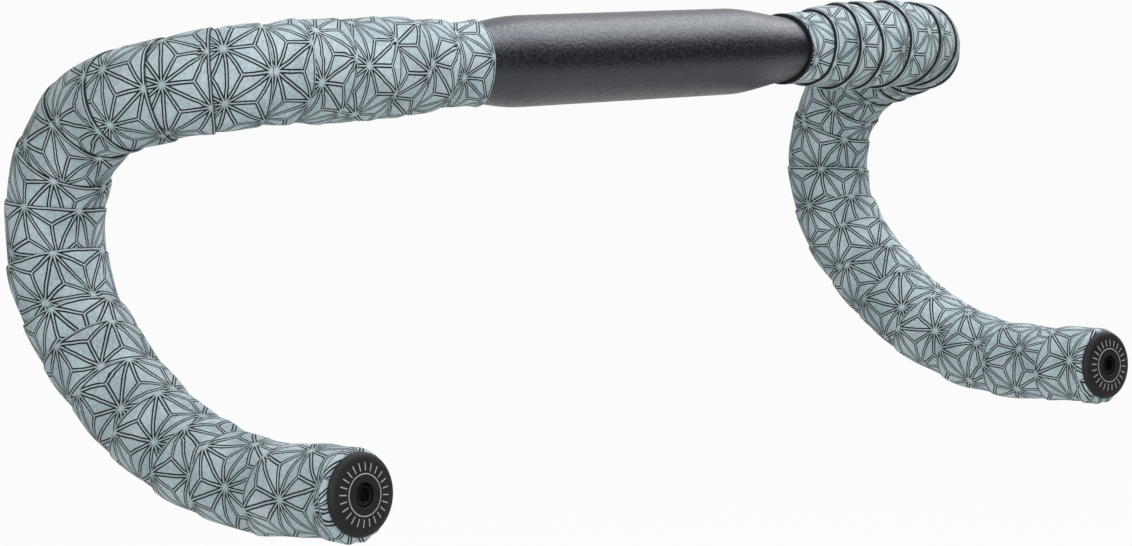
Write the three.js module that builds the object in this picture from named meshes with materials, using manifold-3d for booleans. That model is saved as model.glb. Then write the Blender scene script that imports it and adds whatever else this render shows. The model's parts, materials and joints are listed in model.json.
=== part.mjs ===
// A drop handlebar wrapped in padded tape, in millimetres.
// The origin is the middle of the clamp zone. +X is the rider's right, +Y is forward, +Z is up.
// Each half of the bar is one path from the middle outward: a straight top, a corner forward,
// a tight hook down and back, an easier drop curve and a straight grip end.
import * as THREE from 'three';
import { mergeVertices } from 'three/addons/utils/BufferGeometryUtils.js';
import Module from 'manifold-3d';

const wasm = await Module();
wasm.setup();

// Bar tube
const clampDiameter = 31.8;
const gripDiameter = 23.8;
const barWall = 1.9;
const clampHalfLength = 50;
const shoulderLength = 38;

// Bar path
const straightHalfLength = 144.5;
const cornerRadius = 44.5;
const toeOutDegrees = 3.4;
const rampSlopeDegrees = 14.1;
const hookRadius = 44.8;
const hookTurnDegrees = 117.2;
const dropRadius = 125.7;
const dropTurnDegrees = 54;
const gripEndLength = 32.2;
const flareDegrees = 0.7;

// Tape
const tapeStartLeft = 70.5;
const tapeStartRight = 82.5;
const rimLean = 3;
const startThickness = 1;
const topThickness = 4.3;
const endThickness = 2;
const runInLength = 36;
const turnPitch = 15;
const edgeHeight = 1.3;
const edgeSlant = 0.5;
const edgeFadeLength = 9;
const leftWindPhase = 0;
const rightWindPhase = 0.51;
const bendLay = 2;
const foldThickness = 1.6;
const foldRound = 2;
const tuckThickness = 1.3;
const tuckDepth = 12;

// Bar-end plugs
const capDiameter = 25.3;
const capEdgeThickness = 1.1;
const capDomeHeight = 1.7;
const capCollarLength = 5;
const sleeveLength = 20;
const slotCount = 4;
const slotWidth = 1.6;
const slotLength = 13;
const wedgeLength = 9;
const wedgeEndDiameter = 12.4;
const wedgeTipDiameter = 6.6;
const wedgeInsideSleeve = 6.3;
const screwDiameter = 4;
const screwHeadDiameter = 7;
const screwHeadHeight = 2.4;
const screwHeadRecess = 0.5;
const socketFlats = 4;
const socketDepth = 1.7;

// Clearance between pieces that touch
const gap = 0.3;

// Facets
const ringSides = 18;
const plugSides = 24;
const shoulderSteps = 5;
const cornerSteps = 6;
const hookSteps = 8;
const dropSteps = 6;
const foldSteps = 3;
const domeSteps = 4;

// Derived sizes
const clampRadius = clampDiameter / 2;
const gripRadius = gripDiameter / 2;
const boreRadius = gripRadius - barWall;
const shoulderEnd = clampHalfLength + shoulderLength;
const tuckOuterRadius = boreRadius - gap;
const tuckInnerRadius = tuckOuterRadius - tuckThickness;
const plugRadius = tuckInnerRadius - gap;
const foldTop = gap + foldThickness;
const capSeat = foldTop + gap;
const screwHoleRadius = screwDiameter / 2 + gap;
const fullTurn = Math.PI * 2;

const radians = (degrees) => THREE.MathUtils.degToRad(degrees);
const ease = (t) => (1 - Math.cos(Math.PI * THREE.MathUtils.clamp(t, 0, 1))) / 2;

const barMetal = new THREE.MeshStandardMaterial({ color: 0x2a282e, roughness: 0.42, metalness: 0.75 });
const tapeFoam = new THREE.MeshStandardMaterial({ color: 0xa5b1b7, roughness: 0.85, metalness: 0 });
const plugPlastic = new THREE.MeshStandardMaterial({ color: 0x2f2e32, roughness: 0.7, metalness: 0 });
const blackSteel = new THREE.MeshStandardMaterial({ color: 0x1c1c1f, roughness: 0.4, metalness: 0.9 });

// One half of the bar's centre line, with a frame that never twists about it.
// side is 1 for the rider's right and -1 for the left.
class HalfPath {
  constructor(side) {
    this.side = side;
    this.pieces = [];
    this.length = 0;
    this.headPoint = new THREE.Vector3();
    this.headTurn = new THREE.Quaternion();
    const slope = radians(rampSlopeDegrees);
    const toeOut = radians(toeOutDegrees);
    const rampDirection = new THREE.Vector3(
      side * Math.sin(toeOut),
      Math.cos(toeOut) * Math.cos(slope),
      -Math.cos(toeOut) * Math.sin(slope),
    );
    const flare = radians(flareDegrees);
    const dropDirection = new THREE.Vector3(side * Math.sin(flare), 0, -Math.cos(flare));

    this.addStraight(straightHalfLength);
    this.addArc(cornerRadius, this.tangent().angleTo(rampDirection), rampDirection);
    this.cornerEnd = this.length;
    this.addArc(hookRadius, radians(hookTurnDegrees), dropDirection);
    this.hookEnd = this.length;
    this.addArc(dropRadius, radians(dropTurnDegrees), this.lastNormal());
    this.dropEnd = this.length;
    this.addStraight(gripEndLength);
  }

  tangent() {
    return new THREE.Vector3(this.side, 0, 0).applyQuaternion(this.headTurn);
  }

  addStraight(length) {
    this.addPiece(length, Infinity, new THREE.Vector3());
  }

  // An arc that bends from the present direction towards another one.
  addArc(radius, angle, towards) {
    const axis = this.tangent().cross(towards).normalize();
    this.addPiece(radius * angle, radius, axis);
  }

  addPiece(length, radius, axis) {
    const piece = { start: this.length, radius, axis, point: this.headPoint, turn: this.headTurn };
    this.pieces.push(piece);
    this.length += length;
    const head = this.onPiece(piece, length);
    this.headPoint = head.point;
    this.headTurn = head.turn;
  }

  // The side that the last arc bends towards, at the head of the path.
  lastNormal() {
    return this.pieces.at(-1).axis.clone().cross(this.tangent());
  }

  onPiece(piece, along) {
    const direction = new THREE.Vector3(this.side, 0, 0).applyQuaternion(piece.turn);
    if (piece.radius === Infinity) {
      return { point: piece.point.clone().addScaledVector(direction, along), turn: piece.turn.clone() };
    }
    const angle = along / piece.radius;
    const normal = piece.axis.clone().cross(direction);
    const point = piece.point.clone();
    point.addScaledVector(direction, piece.radius * Math.sin(angle));
    point.addScaledVector(normal, piece.radius * (1 - Math.cos(angle)));
    const turn = new THREE.Quaternion().setFromAxisAngle(piece.axis, angle).multiply(piece.turn);
    return { point, turn };
  }

  // The place at a distance from the middle, and the side that the path bends towards there.
  at(distance) {
    const piece = this.pieces.findLast((one) => one.start <= distance) ?? this.pieces[0];
    const { point, turn } = this.onPiece(piece, distance - piece.start);
    const across = new THREE.Vector3(0, 1, 0).applyQuaternion(turn);
    const over = new THREE.Vector3(0, 0, 1).applyQuaternion(turn);
    const direction = new THREE.Vector3(this.side, 0, 0).applyQuaternion(turn);
    const bend = piece.axis.clone().cross(direction);
    if (piece.radius !== Infinity) bend.divideScalar(piece.radius);
    return { point, across, over, direction, bend };
  }

  // A point at an angle round the bar: 0 is the front and a quarter turn is the top.
  skin(distance, angle, radius) {
    const { point, across, over } = this.at(distance);
    point.addScaledVector(across, radius * Math.cos(angle));
    point.addScaledVector(over, radius * Math.sin(angle));
    return point;
  }

  // The distances at which the bar's rings stand.
  stations() {
    const list = [0];
    const spread = (from, to, steps) => {
      for (let i = 1; i <= steps; i++) list.push(from + ((to - from) * i) / steps);
    };
    spread(0, clampHalfLength, 1);
    spread(clampHalfLength, shoulderEnd, shoulderSteps);
    spread(shoulderEnd, straightHalfLength, 1);
    spread(straightHalfLength, this.cornerEnd, cornerSteps);
    spread(this.cornerEnd, this.hookEnd, hookSteps);
    spread(this.hookEnd, this.dropEnd, dropSteps);
    spread(this.dropEnd, this.length, 1);
    return list;
  }
}

function barRadius(distance) {
  const fall = ease((distance - clampHalfLength) / shoulderLength);
  return clampRadius - (clampRadius - gripRadius) * fall;
}

// Joins rows of points into one closed skin: each row meets the next, and the last meets the first.
function closedSkin(rows, flipped) {
  const positions = [];
  const addTriangle = (a, b, c) => {
    if (a.distanceTo(b) < 1e-5 || b.distanceTo(c) < 1e-5 || c.distanceTo(a) < 1e-5) return;
    const corners = flipped ? [a, c, b] : [a, b, c];
    for (const corner of corners) positions.push(corner.x, corner.y, corner.z);
  };
  rows.forEach((row, i) => {
    const next = rows[(i + 1) % rows.length];
    for (let j = 0; j + 1 < row.length; j++) {
      addTriangle(row[j], row[j + 1], next[j]);
      addTriangle(row[j + 1], next[j + 1], next[j]);
    }
  });
  const geometry = new THREE.BufferGeometry();
  geometry.setAttribute('position', new THREE.Float32BufferAttribute(positions, 3));
  const welded = mergeVertices(geometry, 1e-4);
  welded.computeVertexNormals();
  return welded;
}

const angleOf = (j) => (fullTurn * (j % ringSides)) / ringSides;

// A plain ring of points round the path. wind is 1, or -1 for points that run round the other way.
function evenRing(path, distance, radius, wind = 1) {
  const points = [];
  for (let j = 0; j <= ringSides; j++) points.push(path.skin(distance, wind * angleOf(j), radius));
  return points;
}

// The bare tube from one end to the other, open at both ends.
function handlebar(left, right) {
  const halves = [
    [left, left.stations().toReversed()],
    [right, right.stations().slice(1)],
  ];
  const outside = [];
  const bore = [];
  for (const [path, stations] of halves) {
    for (const distance of stations) {
      outside.push(evenRing(path, distance, barRadius(distance)));
      bore.unshift(evenRing(path, distance, barRadius(distance) - barWall));
    }
  }
  const mesh = new THREE.Mesh(closedSkin([...outside, ...bore], false), barMetal);
  mesh.name = 'handlebar';
  return mesh;
}

// How thick the wound tape is, from its start to the bar's end.
function tapeThickness(path, start, distance) {
  const rise = ease((distance - start) / runInLength);
  const fall = ease((distance - path.hookEnd) / (path.length - path.hookEnd));
  const full = topThickness - (topThickness - endThickness) * fall;
  return startThickness + (full - startThickness) * rise;
}

// How far a turn's edge stands above the turn below it: nothing at the tape's two ends.
function edgeRise(start, end, distance) {
  const fromStart = (distance - start) / edgeFadeLength;
  const fromEnd = (end - distance) / edgeFadeLength;
  return edgeHeight * ease(Math.min(fromStart, fromEnd));
}

// The tape, wound outward from the middle so that each turn lies over the one before.
// Its skin is a spiral of three lines a turn: the foot of an edge, its top and the turn's middle.
function tape(path, name, start, windPhase) {
  const rim = (angle) => start - rimLean * Math.cos(angle);
  const lastSkin = path.length + foldTop - foldRound;
  const lastTurn = Math.ceil((lastSkin - start) / turnPitch) + 1;
  const lines = [
    { offset: 0, rise: -0.5 },
    { offset: edgeSlant, rise: 0.5 },
    { offset: (turnPitch + edgeSlant) / 2, rise: 0 },
  ];

  // The right side's tape climbs over the back of the bar, and the left side's goes down it.
  const wind = -path.side;
  const middleRadius = (distance) => barRadius(distance) + gap + tapeThickness(path, start, distance);
  const skinPoint = (turn, line, j) => {
    const angle = wind * angleOf(j);
    const foot = start + (turn + windPhase + j / ringSides) * turnPitch;
    const { bend, across, over } = path.at(THREE.MathUtils.clamp(foot, 0, path.length));
    const lean = across.dot(bend) * Math.sin(angle) - over.dot(bend) * Math.cos(angle);
    const lay = (-wind * bendLay * gripRadius * lean * turnPitch) / fullTurn;
    const distance = THREE.MathUtils.clamp(foot + line.offset + lay, rim(angle), lastSkin);
    const rise = line.rise * edgeRise(start + rimLean, lastSkin, distance);
    return path.skin(distance, angle, middleRadius(distance) + rise);
  };

  const skin = [];
  for (let turn = -3; turn <= lastTurn; turn++) {
    for (const line of lines) {
      const row = [];
      for (let j = 0; j <= ringSides; j++) row.push(skinPoint(turn, line, j));
      skin.push(row);
    }
  }

  const foldRadius = middleRadius(lastSkin);
  const plain = (distance, radius) => evenRing(path, distance, radius, wind);
  const fold = [];
  for (let i = 1; i <= foldSteps; i++) {
    const bendAngle = (Math.PI / 2) * (i / foldSteps);
    const inset = foldRound * (1 - Math.cos(bendAngle));
    fold.push(plain(lastSkin + foldRound * Math.sin(bendAngle), foldRadius - inset));
  }
  fold.push(plain(path.length + foldTop, tuckInnerRadius));
  fold.push(plain(path.length - tuckDepth, tuckInnerRadius));
  fold.push(plain(path.length - tuckDepth, tuckOuterRadius));
  fold.push(plain(path.length + gap, tuckOuterRadius));

  const inside = [plain(path.length + gap, gripRadius + gap)];
  for (const distance of path.stations().toReversed()) {
    if (distance > start + rimLean && distance < path.length) {
      inside.push(plain(distance, barRadius(distance) + gap));
    }
  }
  const rimRow = [];
  for (let j = 0; j <= ringSides; j++) {
    const angle = wind * angleOf(j);
    rimRow.push(path.skin(rim(angle), angle, barRadius(rim(angle)) + gap));
  }
  inside.push(rimRow);

  const mesh = new THREE.Mesh(closedSkin([...skin, ...fold, ...inside], true), tapeFoam);
  mesh.name = name;
  return mesh;
}

// The solid that a closed outline of [radius, height] pairs sweeps round the Z axis.
function turned(outline) {
  const points = outline.map(([radius, height]) => new THREE.Vector2(radius, height));
  if (points[0].x > 0) points.push(points[0].clone());
  return new THREE.LatheGeometry(points, plugSides).rotateX(Math.PI / 2);
}

function toSolid(geometry) {
  const bare = geometry.clone();
  bare.deleteAttribute('normal');
  bare.deleteAttribute('uv');
  const welded = mergeVertices(bare, 1e-4);
  return new wasm.Manifold(new wasm.Mesh({
    numProp: 3,
    vertProperties: new Float32Array(welded.attributes.position.array),
    triVerts: new Uint32Array(welded.index.array),
  }));
}

function toGeometry(solid) {
  const result = solid.getMesh();
  const geometry = new THREE.BufferGeometry();
  geometry.setAttribute('position', new THREE.BufferAttribute(result.vertProperties, 3));
  geometry.setIndex(new THREE.BufferAttribute(result.triVerts, 1));
  geometry.computeVertexNormals();
  return geometry;
}

// The plug's pieces stand on the Z axis: 0 is the bar's end face and +Z points out of the bar.
const capTop = capSeat + capEdgeThickness + capDomeHeight;
const collarEnd = capSeat - capCollarLength;
const sleeveTop = collarEnd - gap;
const sleeveEnd = sleeveTop - sleeveLength;
const headSeat = capTop - screwHeadRecess - screwHeadHeight;
const wedgeTop = sleeveEnd + wedgeInsideSleeve;
const wedgeBottom = wedgeTop - wedgeLength;

// A low dome with a recess for the screw's head and a collar that sits in the folded tape.
function plugCap() {
  const edge = capDiameter / 2;
  const recess = screwHeadDiameter / 2 + gap;
  const outline = [
    [screwHoleRadius, collarEnd],
    [plugRadius, collarEnd],
    [plugRadius, capSeat],
    [edge, capSeat],
    [edge, capSeat + capEdgeThickness],
  ];
  for (let i = 1; i <= domeSteps; i++) {
    const radius = edge + ((recess - edge) * i) / domeSteps;
    const height = capDomeHeight * Math.sqrt(1 - ((radius - recess) / (edge - recess)) ** 2);
    outline.push([radius, capSeat + capEdgeThickness + height]);
  }
  outline.push([recess, headSeat - gap]);
  outline.push([screwHoleRadius, headSeat - gap]);
  return turned(outline);
}

// A socket-headed screw that runs through the cap and the sleeve into the wedge.
function plugScrew() {
  const head = screwHeadDiameter / 2;
  const shank = screwDiameter / 2;
  const headTop = headSeat + screwHeadHeight;
  const body = turned([
    [0, wedgeBottom],
    [shank, wedgeBottom],
    [shank, headSeat],
    [head, headSeat],
    [head, headTop],
    [0, headTop],
  ]);
  const socketRadius = socketFlats / Math.sqrt(3);
  const socket = new THREE.CylinderGeometry(socketRadius, socketRadius, socketDepth * 2, 6);
  socket.rotateX(Math.PI / 2);
  socket.translate(0, 0, headTop);
  return toGeometry(toSolid(body).subtract(toSolid(socket)));
}

// A slotted sleeve that the wedge spreads against the folded tape.
function plugSleeve() {
  const wedgeSlope = (wedgeEndDiameter - wedgeTipDiameter) / 2 / wedgeLength;
  const coneRadius = (height) => wedgeEndDiameter / 2 + gap - (height - wedgeBottom) * wedgeSlope;
  const coneTop = wedgeTop + gap;
  const body = turned([
    [screwHoleRadius, coneTop],
    [coneRadius(coneTop), coneTop],
    [coneRadius(sleeveEnd), sleeveEnd],
    [plugRadius, sleeveEnd],
    [plugRadius, sleeveTop],
    [screwHoleRadius, sleeveTop],
  ]);
  let solid = toSolid(body);
  for (let i = 0; i < slotCount; i++) {
    const slot = new THREE.BoxGeometry(plugRadius * 2, slotWidth, slotLength * 2);
    slot.translate(plugRadius, 0, sleeveEnd);
    slot.rotateZ((fullTurn * (i + 0.5)) / slotCount);
    solid = solid.subtract(toSolid(slot));
  }
  return toGeometry(solid);
}

// The threaded cone that the screw draws into the sleeve.
function plugWedge() {
  return turned([
    [screwHoleRadius, wedgeBottom],
    [wedgeEndDiameter / 2, wedgeBottom],
    [wedgeTipDiameter / 2, wedgeTop],
    [screwHoleRadius, wedgeTop],
  ]);
}

// All four pieces of one plug, placed at the end of one half of the bar.
function plug(path, name) {
  const pieces = [
    ['cap', plugCap(), plugPlastic],
    ['screw', plugScrew(), blackSteel],
    ['sleeve', plugSleeve(), plugPlastic],
    ['wedge', plugWedge(), blackSteel],
  ];
  const group = new THREE.Group();
  for (const [piece, geometry, material] of pieces) {
    const mesh = new THREE.Mesh(geometry, material);
    mesh.name = `${name}_plug_${piece}`;
    group.add(mesh);
  }
  const { point, across, direction } = path.at(path.length);
  const upward = direction.clone().cross(across);
  group.position.copy(point);
  group.quaternion.setFromRotationMatrix(new THREE.Matrix4().makeBasis(across, upward, direction));
  return group;
}

const leftPath = new HalfPath(-1);
const rightPath = new HalfPath(1);
const model = new THREE.Group();
model.add(handlebar(leftPath, rightPath));
model.add(tape(leftPath, 'tape_left', tapeStartLeft, leftWindPhase));
model.add(tape(rightPath, 'tape_right', tapeStartRight, rightWindPhase));
model.add(plug(leftPath, 'left'));
model.add(plug(rightPath, 'right'));

export default model;
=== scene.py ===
"""A drop handlebar wound with padded, patterned tape: its finishes, its light and its camera."""

import json
import math

import bpy
import numpy as np
from bpy.props import FloatProperty, FloatVectorProperty, IntProperty, PointerProperty
from mathutils import Matrix, Vector

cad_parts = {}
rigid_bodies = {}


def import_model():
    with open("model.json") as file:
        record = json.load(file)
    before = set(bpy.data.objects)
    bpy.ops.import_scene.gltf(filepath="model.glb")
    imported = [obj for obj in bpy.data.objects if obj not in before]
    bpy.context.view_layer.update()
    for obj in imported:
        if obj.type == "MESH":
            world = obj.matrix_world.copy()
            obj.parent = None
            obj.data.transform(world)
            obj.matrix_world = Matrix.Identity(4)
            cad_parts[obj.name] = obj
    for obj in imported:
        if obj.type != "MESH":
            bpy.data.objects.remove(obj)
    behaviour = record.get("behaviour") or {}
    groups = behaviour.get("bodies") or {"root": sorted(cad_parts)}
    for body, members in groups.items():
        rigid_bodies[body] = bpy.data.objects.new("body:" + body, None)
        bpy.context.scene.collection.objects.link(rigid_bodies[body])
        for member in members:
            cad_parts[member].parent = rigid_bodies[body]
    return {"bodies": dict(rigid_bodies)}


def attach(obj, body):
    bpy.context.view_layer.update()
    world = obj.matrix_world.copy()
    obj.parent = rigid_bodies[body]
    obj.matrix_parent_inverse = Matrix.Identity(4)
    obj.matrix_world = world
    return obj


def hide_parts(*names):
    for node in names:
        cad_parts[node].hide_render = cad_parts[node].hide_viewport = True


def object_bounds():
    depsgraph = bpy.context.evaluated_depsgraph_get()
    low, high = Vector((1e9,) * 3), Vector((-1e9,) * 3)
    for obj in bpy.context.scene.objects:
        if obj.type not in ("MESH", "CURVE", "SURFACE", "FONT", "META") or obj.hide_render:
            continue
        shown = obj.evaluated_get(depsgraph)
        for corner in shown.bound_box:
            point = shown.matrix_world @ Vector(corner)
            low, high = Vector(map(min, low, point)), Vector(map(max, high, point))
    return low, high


bl_info = {
    "name": "Taped drop handlebar",
    "version": (1, 0, 0),
    "blender": (4, 5, 0),
    "location": "View3D > Sidebar > Handlebar",
    "description": "Models a taped drop handlebar and its finishes",
    "category": "Object",
}

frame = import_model()
CAD_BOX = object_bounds()
BODY = next(iter(frame["bodies"]))
FULL_TURN = 2 * math.pi
SIDES = {"left": -1, "right": 1}
# Clearance between the CAD's pieces, which the tapes keep too.
CLEARANCE = 0.0003
# Where the black of the cut edges, with painted crease shade at each step's foot, comes and goes: metres
# from the bar's middle, and over how many. Round the left corner it stands for crevice shade.
RIGHT_BLACK_AND_SHADE_GOES = (0.2, 0.035)
LEFT_BLACK_AND_SHADE_COMES = (0.145, 0.03)
LEFT_BLACK_AND_SHADE_GOES = (0.225, 0.02)
# Angles round the bar, from the front: under the folded end, and the lump under the left top.
GATHER_ANGLE = math.radians(85)
LUMP_ANGLE = math.radians(262)
PLEATS = 17
# The cap's pale marks, as radii: one thin ring, and ticks between two others.
TICKS = 24
MARK_RING = 0.0064
TICKS_INNER = 0.0073
TICKS_OUTER = 0.0099
MARK_FADE = 0.0001
# Edges sharper than this stay sharp, on turned pieces and on the tube.
SHARP_ANGLE = math.radians(35)
TUBE_SHARP_ANGLE = math.radians(40)
# The padding's waves: how many round the bar, radians a metre along it, start and share.
WAVES = ((2, 210, 0, 1), (3, -330, 1, 0.7), (5, 130, 2, 0.5))
# The first rim's rounding: share of the tape's thickness, and how far back; and the round at the tuck.
RIM_ROUNDING = ((0.0, 0.0003), (0.15, 0.0001), (0.5, 0.0), (0.8, 0.0001), (0.95, 0.0003))
RIM_ROUND = 0.0003
TUCK_ROUND = 0.0004
# How many rows of stars past the end of the pattern's map the tape's inner faces lie.
INNER_ROWS = 1.5
# Each lamp's width and place; all of them look at the middle of the bar.
LAMPS = {
    "right_lamp": (1.0, (0.75, -0.1, 0.85)),
    "left_lamp": (1.4, (-1.3, -1.3, 0.5)),
    "overhead_lamp": (1.2, (0.0, -0.35, 1.15)),
}
# The black card that the tube mirrors.
CARD_PLACE = (1.0, -1.1, 0.4)
CARD_SIZE = (2.4, 1.5, 1)
CARD_TURN = (math.radians(90), 0, math.radians(42))
# Where a tape's edge crosses the bar's top and underside, turn by turn, in percent of its way
# to the bar's end.
LEFT_OVER = (
    -1.5, 3.6, 8.1, 11.3, 15.6, 19.8, 22.9, 26.6, 30.8, 35.7, 41, 45.4,
    50.2, 54.7, 58.6, 63.1, 67.6, 72.9, 78.4, 83.7, 89.4, 97.5, 105.3,
)
LEFT_UNDER = (
    0.5, 6.1, 9.2, 12.5, 17.7, 21.2, 24, 27.8, 31.6, 35.7, 39.5, 45.8,
    49.1, 54.4, 61.6, 64.6, 69.8, 75.5, 81.4, 85.1, 93, 101.7,
)
RIGHT_UNDER = (
    -2.5, 3, 6.6, 10.1, 14.2, 18.2, 21.3, 25.7, 29.7, 33.5, 37.2, 42.3,
    46, 51.1, 56, 60.3, 65.2, 69.7, 75.6, 81.6, 87.8, 95.5, 103,
)
RIGHT_OVER = (
    0.2, 4.5, 7.8, 10.8, 15.4, 19.7, 23.8, 27.8, 31.4, 37, 40.5, 46.1,
    50.8, 54.6, 58.2, 62.9, 68, 73.4, 80, 86.3, 92.7, 97.6,
)
# How many stars of the pattern lie along a tape's edge before the middle of each turn.
LEFT_STARS = (
    0.16, 5.44, 10.91, 16.56, 22.26, 27.55, 33.1, 38.63, 44.18, 49.67, 55.11, 60.56,
    66, 71.45, 76.76, 81.97, 87.15, 92.19, 97.39, 102.55, 107.45, 112.32, 117.37,
)
RIGHT_STARS = (
    0.25, 5.29, 10.94, 16.56, 22.16, 27.73, 33.31, 38.9, 44.49, 50.07, 55.61, 61.06,
    66.54, 71.96, 77.41, 82.86, 88.21, 93.34, 98.3, 103.26, 108.36, 113.49, 118.54,
)


def metres(name, description, default):
    """A size in metres that a user may change."""
    return FloatProperty(name=name, description=description, default=default, unit="LENGTH", precision=5)


def plain_number(name, description, default):
    """A plain number that a user may change."""
    return FloatProperty(name=name, description=description, default=default)


def degrees(name, description, value):
    """An angle that a user may change."""
    default = math.radians(value)
    return FloatProperty(name=name, description=description, default=default, subtype="ANGLE")


def screen_colour(name, description, red, green, blue):
    """A colour that a user may change, given as it looks on a screen, from 0 to 255."""
    return FloatVectorProperty(
        name=name,
        description=description,
        subtype="COLOR",
        size=3,
        min=0,
        max=1,
        default=tuple(linear(value / 255) for value in (red, green, blue)),
    )


def linear(value):
    """A screen value from 0 to 1 as linear light."""
    return value / 12.92 if value <= 0.04045 else ((value + 0.055) / 1.055) ** 2.4


def per_turn(name, values):
    """One number for each turn of a tape that a user may change."""
    description = "One number for each turn"
    return FloatVectorProperty(name=name, description=description, size=len(values), default=values)


class BarSizes(bpy.types.PropertyGroup):
    """Sizes of the bare tube and its bends."""

    clamp_radius: metres("Clamp radius", "Radius of the thick middle", 0.0159)
    grip_radius: metres("Grip radius", "Radius of the tube under the tape", 0.0119)
    wall: metres("Wall", "Thickness of the tube's wall", 0.0019)
    clamp_half: metres("Clamp half length", "Half the length of the thick middle", 0.05)
    shoulder: metres("Shoulder length", "Length over which the tube narrows", 0.038)
    straight_half: metres("Half the straight top", "Middle to the corner's start", 0.1445)
    corner_radius: metres("Corner radius", "Bend from the top to the ramp", 0.0445)
    toe_out: degrees("Toe-out", "How far the ramps splay", 3.4)
    ramp_slope: degrees("Ramp slope", "How far the ramps fall", 14.1)
    hook_radius: metres("Hook radius", "Bend at the front of the drops", 0.0448)
    hook_turn: degrees("Hook turn", "How far the hook bends", 117.2)
    drop_radius: metres("Drop radius", "Easier bend down to the grip ends", 0.1257)
    drop_turn: degrees("Drop turn", "How far the drop bends", 54)
    grip_end: metres("Grip end", "Straight length at each end", 0.0322)
    flare: degrees("Flare", "How far the drops lean out", 0.7)
    sides: IntProperty(name="Sides", description="Facets round the tube", default=72, min=12)


class TapeSizes(bpy.types.PropertyGroup):
    """Sizes of the wound tape."""

    start_left: metres("Left start", "Middle of the bar to the left tape", 0.0705)
    start_right: metres("Right start", "Middle of the bar to the right tape", 0.0825)
    rim_lean: metres("Rim lean", "How far the first rim leans out at the back", 0.003)
    start_thickness: metres("Start thickness", "Padding at the tape's start", 0.001)
    top_thickness: metres("Top thickness", "Padding over the top and the hooks", 0.0043)
    end_thickness: metres("End thickness", "Padding at the grip ends", 0.002)
    run_in: metres("Run-in", "Length over which the padding grows", 0.036)
    edge_left: metres("Left edge", "How far an edge stands up on the left top", 0.0008)
    edge_right: metres("Right edge", "How far an edge stands up on the right top", 0.0013)
    edge_drop: metres("Drop edge", "How far an edge stands up past the corners", 0.0007)
    # Round the left corner the edges' black is painted crevice shade.
    left_black_and_shade: plain_number("Left black", "How black the left corner's edges are", 0.7)
    edge_fade: metres("Edge fade", "Length over which edges die away at the tape's ends", 0.009)
    left_over: per_turn("Left turns, top", LEFT_OVER)
    left_under: per_turn("Left turns, underside", LEFT_UNDER)
    right_under: per_turn("Right turns, underside", RIGHT_UNDER)
    right_over: per_turn("Right turns, top", RIGHT_OVER)
    swell: metres("Swell", "How unevenly the padding is pressed", 0.00022)
    lump: metres("Lump", "Height of the lump under the left top", 0.0013)
    lump_place: metres("Lump place", "Middle of the bar to that lump", 0.131)
    lump_spread: metres("Lump spread", "Half the length of that lump", 0.009)
    pleat: metres("Pleat", "Depth of the pleats at the folded end", 0.00035)
    end_bulge: metres("End bulge", "How far the gathered tape swells under the end", 0.0007)
    pleat_reach: metres("Pleat reach", "How far the pleats run from the folded end", 0.009)
    fold: metres("Fold", "Thickness of the tape over the tube's end face", 0.0016)
    fold_round: metres("Fold round", "Round edge of that fold", 0.002)
    tuck: metres("Tuck", "Thickness of the tape pushed into the bore", 0.0013)
    tuck_depth: metres("Tuck depth", "How far it goes in", 0.012)
    seat: metres("Seat", "Gap between the tape and the tube", 0.00012)
    sides: IntProperty(name="Sides", description="Facets round the tape", default=120, min=12)


class PatternSizes(bpy.types.PropertyGroup):
    """Sizes of the hemp-leaf relief pressed into the tape."""

    star_spacing: metres("Star spacing", "Distance between the stars", 0.0185)
    first_row: metres("First row", "Tape's edge to the first row of stars", 0.0005)
    first_rim: metres("First rim", "Right tape's rim to its first row of stars", 0.002)
    row_left: metres("Left row", "Between rows where the left top is stretched", 0.0133)
    row_right: metres("Right row", "Between rows where the right top is stretched", 0.0125)
    row_drop: metres("Drop row", "Between rows past the corners", 0.0164)
    stars_left: per_turn("Left stars", LEFT_STARS)
    stars_right: per_turn("Right stars", RIGHT_STARS)
    line_inset: metres("Line inset", "Middle of a rib to each of its two lines", 0.0005)
    line_width: metres("Line width", "Width of a pressed line", 0.00048)
    line_depth: metres("Line depth", "Depth of a pressed line", 0.00022)


class PlugSizes(bpy.types.PropertyGroup):
    """Sizes of the bar-end plugs."""

    cap_radius: metres("Cap radius", "Radius of the cap", 0.0129)
    cap_edge: metres("Cap edge", "Thickness of the cap's edge", 0.0011)
    cap_dome: metres("Cap dome", "Height of the cap's dome", 0.0017)
    recess_radius: metres("Recess radius", "Radius of the screw's recess", 0.0038)
    head_radius: metres("Head radius", "Radius of the screw's head", 0.0035)
    head_height: metres("Head height", "Height of the screw's head", 0.0024)
    head_sunk: metres("Head sunk", "How far the head lies under the dome", 0.0005)
    socket_flats: metres("Socket flats", "Width of the socket across its flats", 0.004)
    socket_depth: metres("Socket depth", "Depth of the socket", 0.0017)
    shank_radius: metres("Shank radius", "Radius of the screw", 0.002)
    shank_length: metres("Shank length", "Length of the screw below its head", 0.0285)
    collar_radius: metres("Collar radius", "Radius of the cap's collar", 0.0081)
    collar_length: metres("Collar length", "Length of the cap's collar", 0.005)
    gap: metres("Gap", "Clearance between the pieces", 0.0003)


class FinishColours(bpy.types.PropertyGroup):
    """Colours of the finishes, as they look on a screen."""

    tape: screen_colour("Tape", "Face of the tape", 186, 201, 206)
    tape_shade: screen_colour("Tape shade", "Darker grain of the tape", 130, 146, 152)
    tape_line: screen_colour("Tape line", "Pressed lines", 12, 18, 22)
    # The edge colour also paints crease shade where each turn's edge meets the face below, and crevice
    # shade round the left corner.
    tape_edge_and_crease_shade: screen_colour("Tape edge", "Cut edge and backing", 26, 30, 33)
    bar: screen_colour("Bar", "Black anodised tube", 22, 19, 24)
    cap: screen_colour("Cap", "Moulded black plastic", 19, 17, 19)
    cap_mark: screen_colour("Cap mark", "Pale ring of ticks", 176, 178, 182)
    steel: screen_colour("Steel", "Blackened steel", 40, 40, 43)
    floor: screen_colour("Floor", "Pale floor", 225, 225, 225)


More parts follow.
